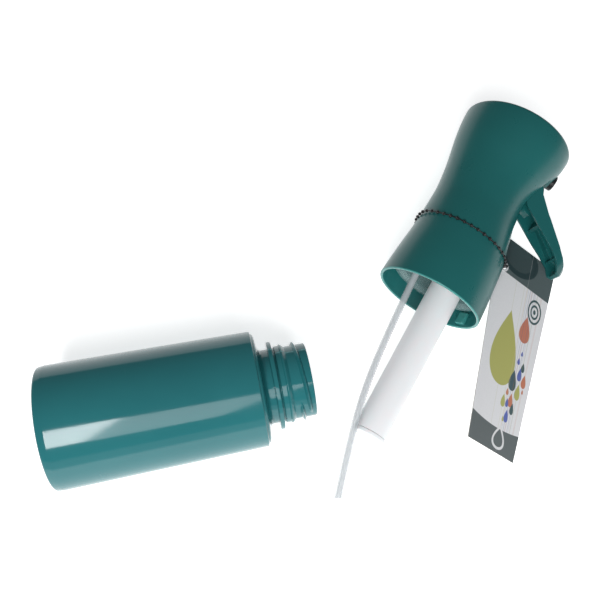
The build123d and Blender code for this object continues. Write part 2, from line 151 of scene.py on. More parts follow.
def plastic(name, color, color2=None, rough=0.25, rough_var=0.05, spec=0.5, coat=0.0, bump=0.02, grain=900.0,
            scratches=0.0, sss=0.0, transmission=0.0, alpha=1.0, ior=1.5):
    m, nt, p, out = new_mat(name)
    v = coords(nt)
    big = noise_node(nt, v, 28.0, 3.0)
    c2 = color2 or tuple(c * 0.88 for c in color)
    nt.links.new(mix_color(nt, ramp(nt, big, 0.3, 0.7, 0.0, 1.0), color, c2), p.inputs["Base Color"])
    fine = noise_node(nt, v, grain, 3.0, 0.6)
    r = ramp(nt, noise_node(nt, v, 65.0, 4.0, 0.6), 0.3, 0.7, rough - rough_var, rough + rough_var)
    height = fine
    if scratches > 0:
        # hairline scuffs: thin creases of two stretched noises
        vs = coords(nt, (1.0, 0.25, 1.0))
        s = noise_node(nt, vs, 190.0, 1.0, 0.4)
        crease = math_node(nt, "ABSOLUTE", math_node(nt, "SUBTRACT", s, 0.5))
        line = ramp(nt, crease, 0.0, 0.006, 1.0, 0.0)
        gate = ramp(nt, noise_node(nt, v, 55.0, 2.0), 0.60, 0.70, 0.0, 1.0)
        mark = math_node(nt, "MULTIPLY", line, gate)
        r = math_node(nt, "ADD", r, math_node(nt, "MULTIPLY", mark, scratches))
    nt.links.new(r, p.inputs["Roughness"])
    b = nt.nodes.new("ShaderNodeBump")
    b.inputs["Strength"].default_value = bump
    b.inputs["Distance"].default_value = 0.0002
    nt.links.new(height, b.inputs["Height"])
    nt.links.new(b.outputs["Normal"], p.inputs["Normal"])
    p.inputs["IOR"].default_value = ior
    p.inputs["Specular IOR Level"].default_value = spec
    if coat > 0:
        p.inputs["Coat Weight"].default_value = coat
        p.inputs["Coat Roughness"].default_value = 0.04
    if sss > 0:
        p.inputs["Subsurface Weight"].default_value = sss
        p.inputs["Subsurface Radius"].default_value = (0.2, 1.0, 1.0)
        p.inputs["Subsurface Scale"].default_value = 0.0015
    if transmission > 0:
        p.inputs["Transmission Weight"].default_value = transmission
    if alpha < 1:
        p.inputs["Alpha"].default_value = alpha
    return m


M_BOTTLE = plastic("tinted_bottle", (0.020, 0.158, 0.172), (0.018, 0.142, 0.156), rough=0.11, rough_var=0.03, spec=0.45,
                   bump=0.012, grain=240.0, scratches=0.22)
# colour lighter than the bottle plastic: a painted highlight along the moulding line on the neck
M_LINE_HIGHLIGHT = plastic("moulding_line_painted_highlight", (0.10, 0.33, 0.34), None, rough=0.2, rough_var=0.04, bump=0.02)
M_HEAD = plastic("head_green", (0.0135, 0.125, 0.122), (0.0125, 0.114, 0.112), rough=0.30, rough_var=0.04, spec=0.3,
                 bump=0.008, grain=700.0, scratches=0.035)
M_RIM = plastic("head_rim_light", (0.048, 0.27, 0.25), None, rough=0.28, rough_var=0.04, bump=0.02)
M_INNER = plastic("head_inner", (0.016, 0.150, 0.146), None, rough=0.30, rough_var=0.05, bump=0.02)
M_TRIG = plastic("trigger_green", (0.012, 0.124, 0.122), (0.011, 0.112, 0.110), rough=0.30, rough_var=0.05, spec=0.4,
                 bump=0.01, grain=800.0, scratches=0.03)
M_WHITE = plastic("white_plastic", (0.85, 0.855, 0.87), (0.83, 0.835, 0.85), rough=0.34, rough_var=0.05, bump=0.03, grain=600.0,
                  sss=0.15)
M_CLEAR = plastic("clear_plastic", (0.30, 0.46, 0.46), None, rough=0.14, rough_var=0.05, spec=0.8, bump=0.02, alpha=0.42, ior=1.5)
M_TUBE = plastic("tube_polyethylene", (0.66, 0.69, 0.71), (0.63, 0.66, 0.685), rough=0.24, rough_var=0.03, bump=0.0, spec=0.4,
                 alpha=0.36)
M_BLACK = plastic("black_plastic", (0.010, 0.011, 0.012), None, rough=0.30, rough_var=0.05, bump=0.03)
M_RUBBER = plastic("seal_rubber", (0.02, 0.02, 0.022), None, rough=0.62, rough_var=0.08, bump=0.06)
M_TIE = plastic("tie_black", (0.012, 0.012, 0.013), None, rough=0.38, rough_var=0.08, bump=0.08, grain=2500.0)
M_EYE = plastic("eyelet_white", (0.72, 0.73, 0.74), None, rough=0.45, rough_var=0.05, bump=0.03)


def metal(name, color, rough):
    m, nt, p, out = new_mat(name)
    v = coords(nt, (1, 1, 14))
    n = noise_node(nt, v, 900.0, 3.0)
    nt.links.new(ramp(nt, n, 0.3, 0.7, rough - 0.06, rough + 0.08), p.inputs["Roughness"])
    nt.links.new(mix_color(nt, ramp(nt, n, 0.2, 0.8, 0.0, 1.0), color, tuple(c * 0.86 for c in color)), p.inputs["Base Color"])
    p.inputs["Metallic"].default_value = 1.0
    return m


M_STEEL = metal("spring_steel", (0.62, 0.62, 0.63), 0.26)


# ------------------------------------------------------------------ mesh helpers
def finish_mesh(name, verts, faces, matrix, mats, body, face_mats=None, sharp=32.0, replaces=()):
    me = bpy.data.meshes.new(name)
    me.from_pydata([tuple(v) for v in verts], [], faces)
    me.transform(matrix)
    me.validate()
    bm = bmesh.new()
    bm.from_mesh(me)
    bmesh.ops.remove_doubles(bm, verts=bm.verts, dist=1e-7)
    bmesh.ops.recalc_face_normals(bm, faces=bm.faces)
    bm.to_mesh(me)
    bm.free()
    for m in mats if isinstance(mats, (list, tuple)) else [mats]:
        me.materials.append(m)
    if face_mats is not None and len(face_mats) == len(me.polygons):
        me.polygons.foreach_set("material_index", face_mats)
    me.polygons.foreach_set("use_smooth", [True] * len(me.polygons))
    me.set_sharp_from_angle(angle=math.radians(sharp))
    ob = bpy.data.objects.new(name, me)
    bpy.context.scene.collection.objects.link(ob)
    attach(ob, body)
    if replaces:
        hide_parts(*replaces)
    return ob


def fillet_profile(pts, closed=True):
    """pts: (r, z) or (r, z, radius); corners with a radius become short arcs."""
    out = []
    n = len(pts)
    for i in range(n):
        p = pts[i]
        rad = p[2] if len(p) > 2 else 0.0
        if rad <= 0 or (not closed and i in (0, n - 1)):
            out.append((p[0], p[1]))
            continue
        a, c, b = Vector(pts[i - 1][:2]), Vector(p[:2]), Vector(pts[(i + 1) % n][:2])
        u, w = (a - c), (b - c)
        lu, lw = u.length, w.length
        u.normalize()
        w.normalize()
        ang = math.acos(max(-1, min(1, u.dot(w))))
        if ang > math.radians(176):
            out.append((p[0], p[1]))
            continue
        d = rad / math.tan(ang / 2)
        d = min(d, 0.48 * lu, 0.48 * lw)
        r2 = d * math.tan(ang / 2)
        cen = c + (u + w).normalized() * (r2 / math.sin(ang / 2))
        p0, p1 = c + u * d, c + w * d
        a0 = math.atan2(p0.y - cen.y, p0.x - cen.x)
        a1 = math.atan2(p1.y - cen.y, p1.x - cen.x)
        da = a1 - a0
        while da > math.pi:
            da -= 2 * math.pi
        while da < -math.pi:
            da += 2 * math.pi
        k = max(3, int(abs(da) / math.radians(14)) + 1)
        for j in range(k + 1):
            t = a0 + da * j / k
            out.append((cen.x + r2 * math.cos(t), cen.y + r2 * math.sin(t)))
    return out


def lathe_data(profile, seg, closed=True):
    verts, faces = [], []
    rows = []
    for r, z in profile:
        if r < 1e-6:
            rows.append([len(verts)])
            verts.append(Vector((0, 0, z)))
        else:
            s = len(verts)
            for k in range(seg):
                a = 2 * math.pi * k / seg
                verts.append(Vector((r * math.cos(a), r * math.sin(a), z)))
            rows.append(list(range(s, s + seg)))
    pairs = list(zip(rows, rows[1:]))
    if closed:
        pairs.append((rows[-1], rows[0]))
    for a, b in pairs:
        if len(a) == 1 and len(b) == 1:
            continue
        for k in range(seg):
            k2 = (k + 1) % seg
            if len(a) == 1:
                faces.append((a[0], b[k], b[k2]))
            elif len(b) == 1:
                faces.append((a[k], a[k2], b[0]))
            else:
                faces.append((a[k], a[k2], b[k2], b[k]))
    return verts, faces


def lathe(name, profile, matrix, mats, body, seg=128, replaces=(), sharp=32.0, extra=None):
    v, f = lathe_data(fillet_profile(profile), seg)
    if extra:
        for ev, ef in extra:
            base = len(v)
            v = v + list(ev)
            f = f + [tuple(i + base for i in q) for q in ef]
    return finish_mesh(name, v, f, matrix, mats, body, sharp=sharp, replaces=replaces)


def tube_data(pts, radius, seg=16, closed=False, inner=0.0, taper=None):
    """swept round tube along pts (Vectors); returns verts, faces of a closed surface."""
    n = len(pts)
    tang = []
    for i in range(n):
        a = pts[(i - 1) % n] if closed or i > 0 else pts[i]
        b = pts[(i + 1) % n] if closed or i < n - 1 else pts[i]
        tang.append((b - a).normalized())
    up = Vector((0, 0, 1))
    if abs(tang[0].dot(up)) > 0.9:
        up = Vector((1, 0, 0))
    nrm = (up - tang[0] * up.dot(tang[0])).normalized()
    frames = []
    for i in range(n):
        nrm = (nrm - tang[i] * nrm.dot(tang[i])).normalized()
        frames.append((nrm.copy(), tang[i].cross(nrm)))
    verts, faces = [], []
    rings_o, rings_i = [], []
    for i in range(n):
        r = radius * (taper(i / (n - 1)) if taper else 1.0)
        s = len(verts)
        for k in range(seg):
            a = 2 * math.pi * k / seg
            verts.append(pts[i] + frames[i][0] * (r * math.cos(a)) + frames[i][1] * (r * math.sin(a)))
        rings_o.append(s)
    if inner > 0:
        for i in range(n):
            s = len(verts)
            for k in range(seg):
                a = 2 * math.pi * k / seg
                verts.append(pts[i] + frames[i][0] * (inner * math.cos(a)) + frames[i][1] * (inner * math.sin(a)))
            rings_i.append(s)
    last = n if closed else n - 1
    for i in range(last):
        a, b = rings_o[i], rings_o[(i + 1) % n]
        for k in range(seg):
            k2 = (k + 1) % seg
            faces.append((a + k, a + k2, b + k2, b + k))
        if inner > 0:
            a, b = rings_i[i], rings_i[(i + 1) % n]
            for k in range(seg):
                k2 = (k + 1) % seg
                faces.append((a + k2, a + k, b + k, b + k2))
    if not closed:
        if inner > 0:
            for i in (0, n - 1):
                a, b = rings_o[i], rings_i[i]
                for k in range(seg):
                    k2 = (k + 1) % seg
                    faces.append((a + k, a + k2, b + k2, b + k) if i else (a + k2, a + k, b + k, b + k2))
        else:
            for i in (0, n - 1):
                c = len(verts)
                verts.append(pts[i].copy())
                a = rings_o[i]
                for k in range(seg):
                    k2 = (k + 1) % seg
                    faces.append((a + k, a + k2, c) if i else (a + k2, a + k, c))
    return verts, faces


def nurbs_points(points, order=3, res=12, cyclic=False):
    cu = bpy.data.curves.new("route_tmp", "CURVE")
    cu.dimensions = "3D"
    sp = cu.splines.new("NURBS")
    sp.points.add(len(points) - 1)
    for q, p in zip(sp.points, points):
        q.co = (*p, 1.0)
    sp.order_u = order
    sp.use_cyclic_u = cyclic
    sp.use_endpoint_u = not cyclic
    sp.resolution_u = res
    ob = bpy.data.objects.new("route_tmp", cu)
    bpy.context.scene.collection.objects.link(ob)
    me = bpy.data.meshes.new_from_object(ob)
    pts = [v.co.copy() for v in me.vertices]
    bpy.data.meshes.remove(me)
    bpy.data.objects.remove(ob)
    bpy.data.curves.remove(cu)
    clean = [pts[0]]
    for p in pts[1:]:
        if (p - clean[-1]).length > 1e-6:
            clean.append(p)
    return clean


# ------------------------------------------------------------------ bottle
ZS = Z_SHOULDER
outer = [(0.0, 3.2), (14.5, 3.2, 1.5), (19.0, 1.6, 1.2), (21.9, 0.15, 0.4), (22.4, 0.0, 0.3), (24.9, 0.0, 1.0), (26.9, 0.1, 1.8), (R_BASE, 3.4, 2.0),
         (R_SHOULDER, ZS, 0.7), (24.7, ZS + 0.08, 0.2), (24.35, ZS + 0.2, 0.12), (23.9, ZS + 0.95, 0.25), (22.9, ZS + 1.4, 0.35), (18.0, ZS + 1.95, 0.7),
         (16.8, ZS + 2.6, 0.5), (16.3, ZS + 3.4, 0.3), (16.3, ZS + 6.2, 0.25), (19.35, ZS + 6.35, 0.3), (19.4, ZS + 8.15, 0.35), (16.35, ZS + 8.5, 0.3),
         (16.3, 101.3, 0.2), (16.9, 101.6, 0.25), (16.95, 103.5, 0.2), (17.5, 104.0, 0.2), (17.45, 104.5, 0.25), (R_NECK, 105.9, 0.4),
         (R_NECK, Z_MOUTH - 0.03, 0.45)]
inner = [(R_BORE, Z_MOUTH - 0.03, 0.3), (R_BORE, ZS + 2.2, 0.6), (15.4, ZS + 1.2, 0.5), (18.0, ZS + 0.2, 0.6), (21.5, ZS - 0.5, 0.8), (23.3, ZS - 1.7, 0.6),
         (R_SHOULDER - 1.1, ZS - 4.0, 1.0), (R_BASE - 1.15, 5.0, 2.0), (25.4, 1.5, 1.5), (22.0, 1.4, 1.0), (19.6, 2.7, 1.0), (15.0, 4.4, 1.0), (0.0, 4.4)]


def thread(start_deg, z_start, sweep_deg):
    """one helical thread ridge on the neck, faded out at both ends."""
    sec = [(-0.5, -1.15), (0.0, -1.05), (0.62, -0.42), (0.86, -0.22), (0.95, 0.0), (0.86, 0.2), (0.6, 0.42), (0.0, 0.95), (-0.5, 1.05)]
    n = 110
    verts, faces = [], []
    for i in range(n + 1):
        t = i / n
        a = math.radians(start_deg + sweep_deg * t)
        z = z_start + THREAD_LEAD * sweep_deg * t / 360.0
        fade = min(1.0, t * sweep_deg / 22.0, (1 - t) * sweep_deg / 26.0)
        fade = max(0.02, fade * fade * (3 - 2 * fade))
        for h, w in sec:
            r = R_NECK + (h if h < 0 else h * (R_THREAD - R_NECK) / 0.95 * fade)
            verts.append(Vector((r * math.cos(a), r * math.sin(a), z + w * (0.5 + 0.5 * fade))))
    m = len(sec)
    for i in range(n):
        for k in range(m):
            k2 = (k + 1) % m
            faces.append((i * m + k, i * m + k2, (i + 1) * m + k2, (i + 1) * m + k))
    faces.append(tuple(range(m - 1, -1, -1)))
    faces.append(tuple(n * m + k for k in range(m)))
    return verts, faces


def parting_line(deg):
    """fine moulding line along the neck, following its outline."""
    prof = fillet_profile(outer + inner)
    pts = [p for p in prof if p[1] > ZS + 6.4 and p[0] > R_NECK - 0.3]
    pts.sort(key=lambda p: 0)
    verts, faces = [], []
    a = math.radians(deg)
    e = Vector((math.cos(a), math.sin(a), 0))
    t = Vector((-math.sin(a), math.cos(a), 0))
    for i, (r, z) in enumerate(pts):
        w = 0.17
        for dr, dw in ((-0.2, -w), (0.02, -w), (0.10, 0.0), (0.02, w), (-0.2, w)):
            verts.append(e * (r + dr) + t * dw + Vector((0, 0, z)))
    n = len(pts)
    for i in range(n - 1):
        for k in range(5):
            k2 = (k + 1) % 5
            faces.append((i * 5 + k, i * 5 + k2, (i + 1) * 5 + k2, (i + 1) * 5 + k))
    faces.append((4, 3, 2, 1, 0))
    faces.append(tuple((n - 1) * 5 + k for k in range(5)))
    return verts, faces


bottle = lathe("bottle_shell", outer + inner, BP, M_BOTTLE, "bottle", seg=224, replaces=("bottle",), sharp=30.0,
               extra=[thread(-45, Z_MOUTH - 5.6 - 0.9, 215), thread(135, Z_MOUTH - 5.6 - 0.9, 215), parting_line(230)])
# the line at 50 degrees takes the lighter material, a painted highlight; the line at 230 degrees is part of the bottle
# shell and keeps the bottle colour
plv, plf = parting_line(50)
finish_mesh("neck_parting_line", plv, plf, BP, M_LINE_HIGHLIGHT, "bottle")


# ------------------------------------------------------------------ head shroud
def hermite(z):
    s = SHROUD
    if z <= s[0][0]:
        d = (s[1][1] - s[0][1]) / (s[1][0] - s[0][0])
        return s[0][1] + d * (z - s[0][0]), s[0][2]
    if z >= s[-1][0]:
        return s[-1][1], s[-1][2]
    for i in range(len(s) - 1):
        if s[i][0] <= z <= s[i + 1][0]:
            break

    def slope(k, c):
        if k == 0:
            return (s[1][c] - s[0][c]) / (s[1][0] - s[0][0])
        if k == len(s) - 1:
            return (s[-1][c] - s[-2][c]) / (s[-1][0] - s[-2][0]) * 0.4
        return (s[k + 1][c] - s[k - 1][c]) / (s[k + 1][0] - s[k - 1][0])
    h = s[i + 1][0] - s[i][0]
    t = (z - s[i][0]) / h
    out = []
    for c in (1, 2):
        a, b, ma, mb = s[i][c], s[i + 1][c], slope(i, c) * h, slope(i + 1, c) * h
        out.append((2 * t ** 3 - 3 * t * t + 1) * a + (t ** 3 - 2 * t * t + t) * ma + (-2 * t ** 3 + 3 * t * t) * b + (t ** 3 - t * t) * mb)
    return out[0], out[1]


NCOL = 192
JS, JB = 13, 34


def col_angles(R, z):
    zc = min(max(z, SLOT_Z[0] - 4), SLOT_Z[1] + 4)
    base_js = 2 * math.pi * JS / NCOL
    base_jb = 2 * math.pi * JB / NCOL
    ts = math.asin(min(0.95, SLOT_HALF / R))
    if z < SLOT_Z[0]:
        f = min(1.0, (SLOT_Z[0] - z) / 14.0)
        ts = ts + (base_js - ts) * f
    if z > SLOT_Z[1]:
        f = min(1.0, (z - SLOT_Z[1]) / 12.0)
        ts = ts + (base_js - ts) * f
    out = []
    for j in range(NCOL):
        jj = j if j <= NCOL // 2 else j - NCOL
        sgn = 1 if jj >= 0 else -1
        q = abs(jj)
        if q <= JS:
            a = ts * q / JS
        elif q <= JB:
            a = ts + (base_jb - ts) * (q - JS) / (JB - JS)
        else:
            a = 2 * math.pi * q / NCOL
        out.append(sgn * a)
    return out


def shroud_mesh():
    zs = [0.45] + [1.6 * k + 1.2 for k in range(0, 33)]
    zs = [z for z in zs if z < SLOT_Z[0] - 0.7] + [SLOT_Z[0]]
    k0 = len(zs) - 1
    nslot = 15
    zs += [SLOT_Z[0] + (SLOT_Z[1] - SLOT_Z[0]) * k / nslot for k in range(1, nslot + 1)]
    k1 = len(zs) - 1
    zs += [80.0, 81.6, 83.2, 84.8, 86.4, 88.0, 89.5, 90.8, 91.8]
    verts, faces, fm = [], [], []

    def row(z, R, cx, angz=None):
        s = len(verts)
        for a in col_angles(R, z if angz is None else angz):
            verts.append(Vector((cx + R * math.cos(a), R * math.sin(a), z)))
        return s

    def strip(a, b, mat, skip=False, flip=False):
        for j in range(NCOL):
            j2 = (j + 1) % NCOL
            if skip:
                jj = j if j < NCOL // 2 else j - NCOL
                if -JS <= jj < JS:
                    continue
            q = (a + j, a + j2, b + j2, b + j)
            faces.append(q[::-1] if flip else q)
            fm.append(mat)

    rows_o = [row(z, *hermite(z)) for z in zs]
    for i in range(len(zs) - 1):
        strip(rows_o[i], rows_o[i + 1], 0, skip=(k0 <= i < k1))
    # crown: rounded top edge and a very slightly domed top
    R, cx = hermite(zs[-1])
    prev = rows_o[-1]
    for d in (15, 30, 45, 60, 75, 90):
        a = math.radians(d)
        r = row(91.8 + 1.6 * math.sin(a), R - 1.6 + 1.6 * math.cos(a), cx)
        strip(prev, r, 0)
        prev = r
    for t in (0.85, 0.6, 0.3, 0.1):
        r = row(93.4 + 0.06 * (1 - t * t), (R - 1.6) * t, cx)
        strip(prev, r, 0)
        prev = r
    c = len(verts)
    verts.append(Vector((cx, 0, 93.46)))
    for j in range(NCOL):
        faces.append((prev + j, prev + (j + 1) % NCOL, c))
        fm.append(0)
    # rim: rounded lip, lighter because light comes through its edge
    R0, c0 = hermite(0.45)
    r1 = row(0.14, R0 - 0.05, c0)
    r2 = row(0.0, R0 - 0.32, c0)
    r3 = row(0.0, R0 - WALL + 0.32, c0)
    r4 = row(0.14, R0 - WALL + 0.05, c0)
    zi = [z for z in zs]
    rows_i = []
    for z in zi:
        R, cx = hermite(z)
        rows_i.append(row(z if z < 91 else 91.0, R - WALL, cx))
    strip(r1, rows_o[0], 1)
    strip(r2, r1, 1)
    strip(r3, r2, 1)
    strip(r4, r3, 1)
    strip(rows_i[0], r4, 1)
    for i in range(len(zi) - 1):
        strip(rows_i[i + 1], rows_i[i], 2, skip=(k0 <= i < k1))
    c = len(verts)
    verts.append(Vector((hermite(91)[1], 0, 91.6)))
    for j in range(NCOL):
        faces.append((rows_i[-1] + (j + 1) % NCOL, rows_i[-1] + j, c))
        fm.append(2)
    # slot walls
    for i in range(k0, k1):
        for j in (JS, NCOL - JS):
            q = (rows_o[i] + j, rows_o[i + 1] + j, rows_i[i + 1] + j, rows_i[i] + j)
            faces.append(q)
            fm.append(0)
    for i in (k0, k1):
        for jj in range(-JS, JS):
            j, j2 = jj % NCOL, (jj + 1) % NCOL
            faces.append((rows_o[i] + j, rows_o[i] + j2, rows_i[i] + j2, rows_i[i] + j))
            fm.append(0)
    return verts, faces, fm


def lug_box():
    """rectangular lug on the inner wall of the skirt."""
    verts, faces = [], []
    az = math.radians(28.0)
    e = Vector((math.cos(az), math.sin(az), 0))
    t = Vector((-math.sin(az), math.cos(az), 0))
    for r in (21.9, 24.0):
        for wv in (-2.6, 2.6):
            for z in (1.6, 7.2):
                verts.append(e * r + t * wv + Vector((0, 0, z)))
    faces = [(0, 1, 3, 2), (4, 6, 7, 5), (0, 4, 5, 1), (2, 3, 7, 6), (0, 2, 6, 4), (1, 5, 7, 3)]
    return verts, faces


sv, sf, sm = shroud_mesh()
lv, lf = lug_box()
base = len(sv)
sv += lv
sf += [tuple(i + base for i in q) for q in lf]
sm += [1] * len(lf)
shroud = finish_mesh("shroud_shell", sv, sf, HP, [M_HEAD, M_RIM, M_INNER], "head", face_mats=sm, sharp=34.0,
                     replaces=("head_shroud",))


def apply_modifiers(ob):
    bpy.context.view_layer.update()
    dg = bpy.context.evaluated_depsgraph_get()
    me = bpy.data.meshes.new_from_object(ob.evaluated_get(dg))
    old = ob.data
    ob.modifiers.clear()
    ob.data = me
    bpy.data.meshes.remove(old)


def bevel(ob, width_mm, segments=3, angle=40.0):
    b = ob.modifiers.new("edge", "BEVEL")
    b.width = width_mm * MM
    b.segments = segments
    b.limit_method = "ANGLE"
    b.angle_limit = math.radians(angle)
    b.harden_normals = True
    apply_modifiers(ob)


bevel(shroud, 0.3, 3, 50.0)


def from_node(name, node, mats, body, width=0.4, segments=3, dissolve=4.0, sharp=30.0):
    """a copy of a CAD node's mesh with its flat facets merged and its edges rounded."""
    me = NODES[node].data.copy()
    me.name = name
    me.materials.clear()
    for m in mats if isinstance(mats, (list, tuple)) else [mats]:
        me.materials.append(m)
    bm = bmesh.new()
    bm.from_mesh(me)
    bmesh.ops.remove_doubles(bm, verts=bm.verts, dist=2e-6)
    bmesh.ops.dissolve_limit(bm, angle_limit=math.radians(dissolve), verts=bm.verts, edges=bm.edges, delimit={"NORMAL"})
    bmesh.ops.recalc_face_normals(bm, faces=bm.faces)
    bm.to_mesh(me)
    bm.free()
    me.polygons.foreach_set("material_index", [0] * len(me.polygons))
    me.polygons.foreach_set("use_smooth", [True] * len(me.polygons))
    me.set_sharp_from_angle(angle=math.radians(sharp))
    ob = bpy.data.objects.new(name, me)
    bpy.context.scene.collection.objects.link(ob)
    if width > 0:
        bevel(ob, width, segments, sharp)
    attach(ob, body)
    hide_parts(node)
    return ob


trigger = from_node("trigger_lever", "trigger", M_TRIG, "trigger", width=0.3, segments=2, dissolve=1.0, sharp=30.0)

# ------------------------------------------------------------------ pressure cylinder, end cap
BB, BT = -68.2, 27.0
lathe("cylinder_body", [(7.5, BB + 1.9, 0.12), (7.5, BT - 2.0), (8.5, BT - 2.0, 0.2), (8.5, BT, 0.2), (1.5, BT), (1.5, BT - 1.5), (6.3, BT - 1.5), (6.3, BB + 1.9)],
      UP, M_WHITE, "head", seg=128, replaces=("buffer_cylinder",))
lathe("cylinder_end", [(0.0, BB + 0.55), (2.2, BB + 0.55, 0.2), (2.7, BB, 0.25), (7.38, BB, 0.35), (7.46, BB + 1.72, 0.15), (6.3, BB + 1.74), (6.26, BB + 5.0, 0.3), (5.0, BB + 5.0), (5.0, BB + 1.8), (0.0, BB + 1.8)],
      UP, M_WHITE, "head", seg=96, replaces=("buffer_end_cap",))

# ------------------------------------------------------------------ collar ring inside the skirt
lathe("collar_ring", [(19.3, 7.5, 0.25), (21.3, 7.5, 0.3), (21.3, 21.9), (17.8, 21.9), (17.8, 9.5, 0.3)], HP, M_CLEAR, "head", seg=128,
      replaces=("screw_collar",))

# ------------------------------------------------------------------ dip tube
TUBE_ROUTE = [(-11.2, -2.0, 30.5), (-11.2, -2.0, 17.5), (-11.2, -2.9, 6.0), (-10.2, -3.8, -7.0),
              (-9.3, -5.2, -22.0), (-8.0, -7.0, -38.0), (-6.2, -8.5, -52.5), (-2.9, -9.7, -68.0),
              (1.7, -10.7, -84.5), (6.1, -11.25, -98.6)]
tp = nurbs_points(TUBE_ROUTE, 3, 10)
tp = [Vector(p) for p in tp]
tv, tf = tube_data(tp, 1.6, 28, inner=1.05)
# a slightly slanted cut at the free end
seg = 28
for ring0 in (28 * (len(tp) - 1), 28 * (2 * len(tp) - 1)):
    for k in range(seg):
        p = tv[ring0 + k]
        p.z += 0.28 * (p.x - tp[-1].x)
tube = finish_mesh("dip_tube_bent", tv, tf, HP, M_TUBE, "head", sharp=40.0, replaces=("dip_tube",))

# ------------------------------------------------------------------ nozzle
XN = HP @ Matrix.Translation((0, 0, NOZZLE_Z)) @ Matrix.Rotation(math.radians(90), 4, "Y")
lathe("nozzle_ring", [(2.6, 24.9, 0.15), (3.0, 25.12, 0.1), (3.6, 25.1, 0.3), (3.9, 24.7, 0.2), (3.9, 18.0), (2.6, 18.0)], XN, M_BLACK, "head", seg=72, replaces=("nozzle_bezel",))
lathe("nozzle_orifice", [(0.35, 20.3), (2.55, 20.3), (2.55, 24.8, 0.2), (1.7, 24.8, 0.15), (1.0, 23.9, 0.1), (0.35, 23.7)], XN, M_WHITE, "head", seg=56, replaces=("nozzle_insert",))

# ------------------------------------------------------------------ hang tag
TL, TR, BR, BL = (Vector(TAG[k]) for k in ("TL", "TR", "BR", "BL"))


def tag_point(u, v):
    """u across from the left edge, v down from the top edge, both 0 to 1."""
    a = TL.lerp(BL, v)
    b = TR.lerp(BR, v)
    return a.lerp(b, u)


def tag_normal(u, v):
    e = 0.01
    du = tag_point(min(1, u + e), v) - tag_point(max(0, u - e), v)
    dv = tag_point(u, min(1, v + e)) - tag_point(u, max(0, v - e))
    return dv.cross(du).normalized()


HOLE_UV = (0.135, 0.155)
TW = (TR - TL).length
TLEN = ((TL - BL).length + (TR - BR).length) / 2
HOLE_C = tag_point(*HOLE_UV)


def build_tag():
    nu, nv, T = 36, 104, 0.42
    me = bpy.data.meshes.new("tag_printed")
    hole_r = 1.75
    verts, uvs, faces, fm = [], [], [], []
    us = [i / nu for i in range(nu + 1)]
    vs = [j / nv for j in range(nv + 1)]
    # square patch round the hole, rebuilt as a ring of quads
    iu = (2, 8)
    jv = (12, 21)

    def add(p, uv):
        verts.append(p)
        uvs.append(uv)
        return len(verts) - 1
    sides = []
    for s in (1, -1):
        grid = [[None] * (nu + 1) for _ in range(nv + 1)]
        for j in range(nv + 1):
            for i in range(nu + 1):
                if iu[0] < i < iu[1] and jv[0] < j < jv[1]:
                    continue
                p = tag_point(us[i], vs[j]) + tag_normal(us[i], vs[j]) * (s * T / 2)
                grid[j][i] = add(p, (us[i], 1 - vs[j]))
        for j in range(nv):
            for i in range(nu):
                if iu[0] <= i < iu[1] and jv[0] <= j < jv[1]:
                    continue
                q = (grid[j][i], grid[j + 1][i], grid[j + 1][i + 1], grid[j][i + 1])
                faces.append(q if s > 0 else q[::-1])
                fm.append(0 if s > 0 else 1)
        # patch boundary loop
        loop = [(i, jv[0]) for i in range(iu[0], iu[1])] + [(iu[1], j) for j in range(jv[0], jv[1])] + \
               [(i, jv[1]) for i in range(iu[1], iu[0], -1)] + [(iu[0], j) for j in range(jv[1], jv[0], -1)]
        cu, cv = HOLE_UV
        inner = []
        for i, j in loop:
            du, dv = (us[i] - cu) * TW, (vs[j] - cv) * TLEN
            L = math.hypot(du, dv)
            uu, vv = cu + du / L * hole_r / TW, cv + dv / L * hole_r / TLEN
            inner.append(add(tag_point(uu, vv) + tag_normal(uu, vv) * (s * T / 2), (uu, 1 - vv)))
        n = len(loop)
        for k in range(n):
            k2 = (k + 1) % n
            a, b = grid[loop[k][1]][loop[k][0]], grid[loop[k2][1]][loop[k2][0]]
            q = (a, inner[k], inner[k2], b)
            faces.append(q if s > 0 else q[::-1])
            fm.append(0 if s > 0 else 1)
        sides.append((grid, inner))
    (g1, h1), (g2, h2) = sides
    edge = [(0, i) for i in range(nu)] + [(j, nu) for j in range(nv)] + [(nv, i) for i in range(nu, 0, -1)] + [(j, 0) for j in range(nv, 0, -1)]
    for k in range(len(edge)):
        a, b = edge[k], edge[(k + 1) % len(edge)]
        faces.append((g1[a[0]][a[1]], g1[b[0]][b[1]], g2[b[0]][b[1]], g2[a[0]][a[1]]))
        fm.append(2)
    for k in range(len(h1)):
        k2 = (k + 1) % len(h1)
        faces.append((h1[k], h2[k], h2[k2], h1[k2]))
        fm.append(2)
    me.from_pydata([tuple(p) for p in verts], [], faces)
    uvl = me.uv_layers.new(name="UVMap")
    for poly in me.polygons:
        for li in poly.loop_indices:
            uvl.data[li].uv = uvs[me.loops[li].vertex_index]
    me.transform(WP)
    me.polygons.foreach_set("material_index", fm)
    bm = bmesh.new()
    bm.from_mesh(me)
    bmesh.ops.recalc_face_normals(bm, faces=bm.faces)
    bm.to_mesh(me)
    bm.free()
    me.polygons.foreach_set("use_smooth", [True] * len(me.polygons))
    me.set_sharp_from_angle(angle=math.radians(40))
    return me


